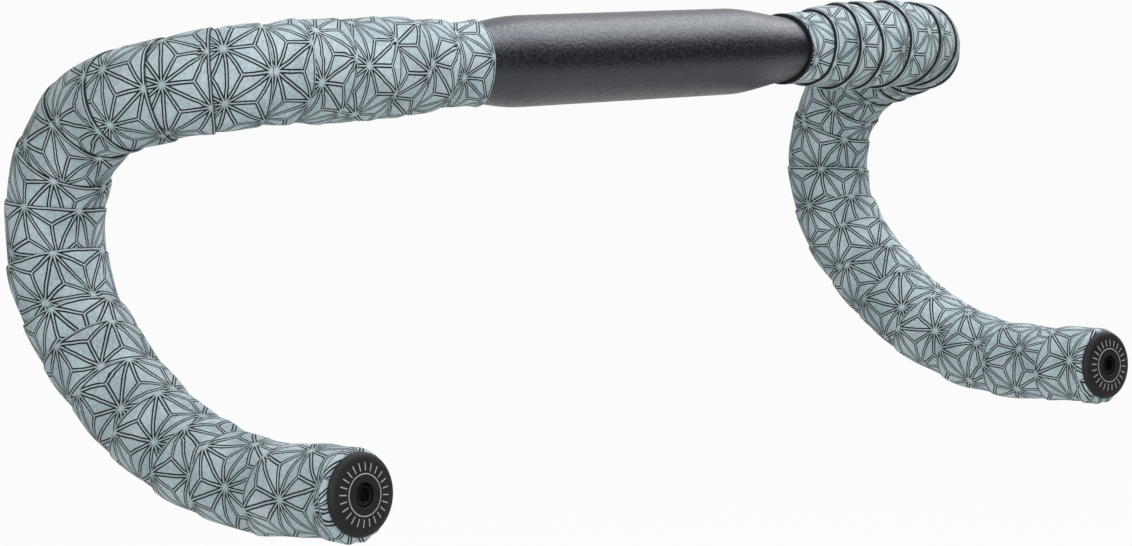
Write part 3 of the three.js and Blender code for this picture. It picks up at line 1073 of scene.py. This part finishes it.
class HANDLEBAR_OT_plug_caps(bpy.types.Operator):
    """Model the domed caps of the bar-end plugs"""

    bl_idname = "handlebar.plug_caps"
    bl_label = "Plug caps"

    def execute(self, context):
        finish = cap_finish(context.scene.handlebar_colours)
        fit_to_bars(context.scene, self.cap, "domed_cap", finish, "plug_plastic", "plug_cap")
        return {"FINISHED"}

    def cap(self, plug, heights):
        cap = turned_piece(self.outline(plug, heights), 72)
        round_edges(cap, 0.0003)
        map_from_above(cap)
        return cap

    @staticmethod
    def outline(plug, heights):
        hole = plug.shank_radius + plug.gap
        rows = [
            (hole, heights.collar_end),
            (plug.collar_radius, heights.collar_end),
            (plug.collar_radius, heights.seat),
            (plug.cap_radius, heights.seat),
            (plug.cap_radius, heights.dome_foot),
        ]
        steps = 10
        for step in range(1, steps + 1):
            radius = plug.cap_radius + (plug.recess_radius - plug.cap_radius) * step / steps
            share = (radius - plug.recess_radius) / (plug.cap_radius - plug.recess_radius)
            rows.append((radius, heights.dome_foot + plug.cap_dome * math.sqrt(1 - share**2)))
        rows.append((plug.recess_radius, heights.head_seat - plug.gap))
        rows.append((hole, heights.head_seat - plug.gap))
        return rows


class HANDLEBAR_OT_plug_screws(bpy.types.Operator):
    """Model the socket-headed screws of the plugs"""

    bl_idname = "handlebar.plug_screws"
    bl_label = "Plug screws"

    def execute(self, context):
        finish = steel_finish(context.scene.handlebar_colours)
        fit_to_bars(context.scene, self.screw, "socket_screw", finish, "black_steel", "plug_screw")
        return {"FINISHED"}

    def screw(self, plug, heights):
        screw = self.body(plug, heights)
        self.cut_socket(screw, plug, heights)
        return screw

    @staticmethod
    def body(plug, heights):
        tip = heights.head_seat - plug.shank_length
        deselect_all()
        bpy.ops.mesh.primitive_cylinder_add(
            vertices=48,
            radius=plug.shank_radius,
            depth=plug.shank_length,
            location=(0, 0, (tip + heights.head_seat) / 2),
        )
        screw = bpy.context.object
        fix_place()
        bpy.ops.object.mode_set(mode="EDIT")
        bpy.ops.mesh.select_all(action="DESELECT")
        bpy.ops.object.mode_set(mode="OBJECT")
        for face in screw.data.polygons:
            face.select = face.normal.z > 0.9
        bpy.ops.object.mode_set(mode="EDIT")
        bpy.ops.mesh.select_mode(type="FACE")
        factor = plug.head_radius / plug.shank_radius
        bpy.ops.mesh.extrude_region_move(TRANSFORM_OT_translate={"value": (0, 0, 0)})
        bpy.ops.transform.resize(value=(factor, factor, 1), center_override=(0, 0, heights.head_seat))
        bpy.ops.mesh.extrude_region_move(TRANSFORM_OT_translate={"value": (0, 0, plug.head_height)})
        bpy.ops.object.mode_set(mode="OBJECT")
        round_edges(screw, 0.00035)
        return screw

    @staticmethod
    def cut_socket(screw, plug, heights):
        deselect_all()
        bpy.ops.mesh.primitive_cylinder_add(
            vertices=6,
            radius=plug.socket_flats / math.sqrt(3),
            depth=plug.socket_depth * 2,
            location=(0, 0, heights.head_top),
        )
        cutter = bpy.context.object
        fix_place()
        socket = screw.modifiers.new("socket", "BOOLEAN")
        socket.operation = "DIFFERENCE"
        socket.solver = "EXACT"
        socket.object = cutter
        activate(screw)
        bpy.ops.object.modifier_apply(modifier=socket.name)
        bpy.data.objects.remove(cutter)
        activate(screw)


class HANDLEBAR_OT_inner_pieces(bpy.types.Operator):
    """Give the plugs' sleeves and wedges, inside the bar, their finishes"""

    bl_idname = "handlebar.inner_pieces"
    bl_label = "Plug sleeves and wedges"

    def execute(self, context):
        colours = context.scene.handlebar_colours
        finishes = {"sleeve": plain_plastic_finish(colours), "wedge": steel_finish(colours)}
        for name in SIDES:
            for piece, finish in finishes.items():
                node = bpy.data.objects[f"{name}_plug_{piece}"]
                for slot in node.material_slots:
                    slot.material = finish
        return {"FINISHED"}


class HANDLEBAR_OT_studio(bpy.types.Operator):
    """Set up the camera, the pale floor and the soft light"""

    bl_idname = "handlebar.studio"
    bl_label = "Studio"

    def execute(self, context):
        scene = context.scene
        studio = scene.handlebar_studio
        self.add_camera(scene, studio)
        self.add_floor(scene, studio)
        powers = (studio.key_power, studio.fill_power, studio.top_power)
        for (name, (size, place)), power in zip(LAMPS.items(), powers):
            self.add_lamp(name, power, size, place)
        self.add_card()
        self.light_world(scene, studio)
        scene.view_settings.view_transform = "Standard"
        return {"FINISHED"}

    @staticmethod
    def add_camera(scene, studio):
        deselect_all()
        bpy.ops.object.camera_add(location=studio.camera_place)
        camera = bpy.context.object
        camera.name = "photo_camera"
        camera.rotation_mode = "QUATERNION"
        camera.rotation_quaternion = Vector(studio.camera_aim).to_track_quat("-Z", "Y")
        camera.data.lens = studio.lens
        camera.data.sensor_width = studio.sensor
        camera.data.clip_start = 0.01
        scene.camera = camera

    @staticmethod
    def add_floor(scene, studio):
        deselect_all()
        height = CAD_BOX[0].z - studio.floor_drop
        bpy.ops.mesh.primitive_plane_add(size=studio.floor_size, location=(0, 0, height))
        floor = bpy.context.object
        floor.name = "pale_floor"
        floor.data.materials.append(floor_finish(scene.handlebar_colours))

    @staticmethod
    def add_card():
        """A black card, out of sight, that the bar's front mirrors as a dark core."""
        deselect_all()
        bpy.ops.mesh.primitive_plane_add(size=1, location=CARD_PLACE)
        card = bpy.context.object
        card.name = "black_card"
        card.scale = CARD_SIZE
        card.rotation_euler = CARD_TURN
        fix_place()
        colour = (0.01, 0.01, 0.01, 1)
        black = Finish("black_card", Roughness=1.0, Base_Color=colour, Specular_IOR_Level=0)
        card.data.materials.append(black.material)
        card.visible_camera = False
        card.visible_diffuse = False
        card.visible_shadow = False

    @staticmethod
    def add_lamp(name, power, size, place):
        deselect_all()
        bpy.ops.object.light_add(type="AREA", location=place)
        lamp = bpy.context.object
        lamp.name = name
        lamp.data.energy = power
        lamp.data.size = size
        lamp.rotation_mode = "QUATERNION"
        lamp.rotation_quaternion = (-Vector(place)).to_track_quat("-Z", "Y")

    @staticmethod
    def light_world(scene, studio):
        """Even light all round, which the camera and reflections see as white."""
        world = bpy.data.worlds.new("white_studio")
        scene.world = world
        world.use_nodes = True
        nodes, links = world.node_tree.nodes, world.node_tree.links
        soft = nodes["Background"]
        soft.inputs["Color"].default_value = (1, 1, 1, 1)
        soft.inputs["Strength"].default_value = studio.world_strength
        white = nodes.new("ShaderNodeBackground")
        white.inputs["Color"].default_value = (1, 1, 1, 1)
        white.inputs["Strength"].default_value = 1.0
        choice = nodes.new("ShaderNodeMixShader")
        links.new(seen_as_white(nodes, links), choice.inputs[0])
        links.new(soft.outputs[0], choice.inputs[1])
        links.new(white.outputs[0], choice.inputs[2])
        links.new(choice.outputs[0], nodes["World Output"].inputs["Surface"])


OPERATORS = (
    HANDLEBAR_OT_studio,
    HANDLEBAR_OT_bar_tube,
    HANDLEBAR_OT_tapes,
    HANDLEBAR_OT_plug_caps,
    HANDLEBAR_OT_plug_screws,
    HANDLEBAR_OT_inner_pieces,
)


class HANDLEBAR_PT_pieces(bpy.types.Panel):
    """Lists the handlebar's pieces"""

    bl_label = "Handlebar"
    bl_space_type = "VIEW_3D"
    bl_region_type = "UI"
    bl_category = "Handlebar"

    def draw(self, context):
        for operator in OPERATORS:
            self.layout.operator(operator.bl_idname)
        for name in SETTINGS:
            group = getattr(context.scene, name)
            box = self.layout.box()
            for key in group.bl_rna.properties.keys():
                if key not in {"rna_type", "name"}:
                    box.prop(group, key)


CLASSES = (*SETTINGS.values(), *OPERATORS, HANDLEBAR_PT_pieces)


def register():
    for cls in CLASSES:
        bpy.utils.register_class(cls)
    for name, group in SETTINGS.items():
        setattr(bpy.types.Scene, name, PointerProperty(type=group))


def unregister():
    for name in SETTINGS:
        delattr(bpy.types.Scene, name)
    for cls in reversed(CLASSES):
        bpy.utils.unregister_class(cls)


def main():
    register()
    bpy.ops.handlebar.studio()
    bpy.ops.handlebar.bar_tube()
    bpy.ops.handlebar.tapes()
    bpy.ops.handlebar.plug_caps()
    bpy.ops.handlebar.plug_screws()
    bpy.ops.handlebar.inner_pieces()


if __name__ == "__main__":
    main()
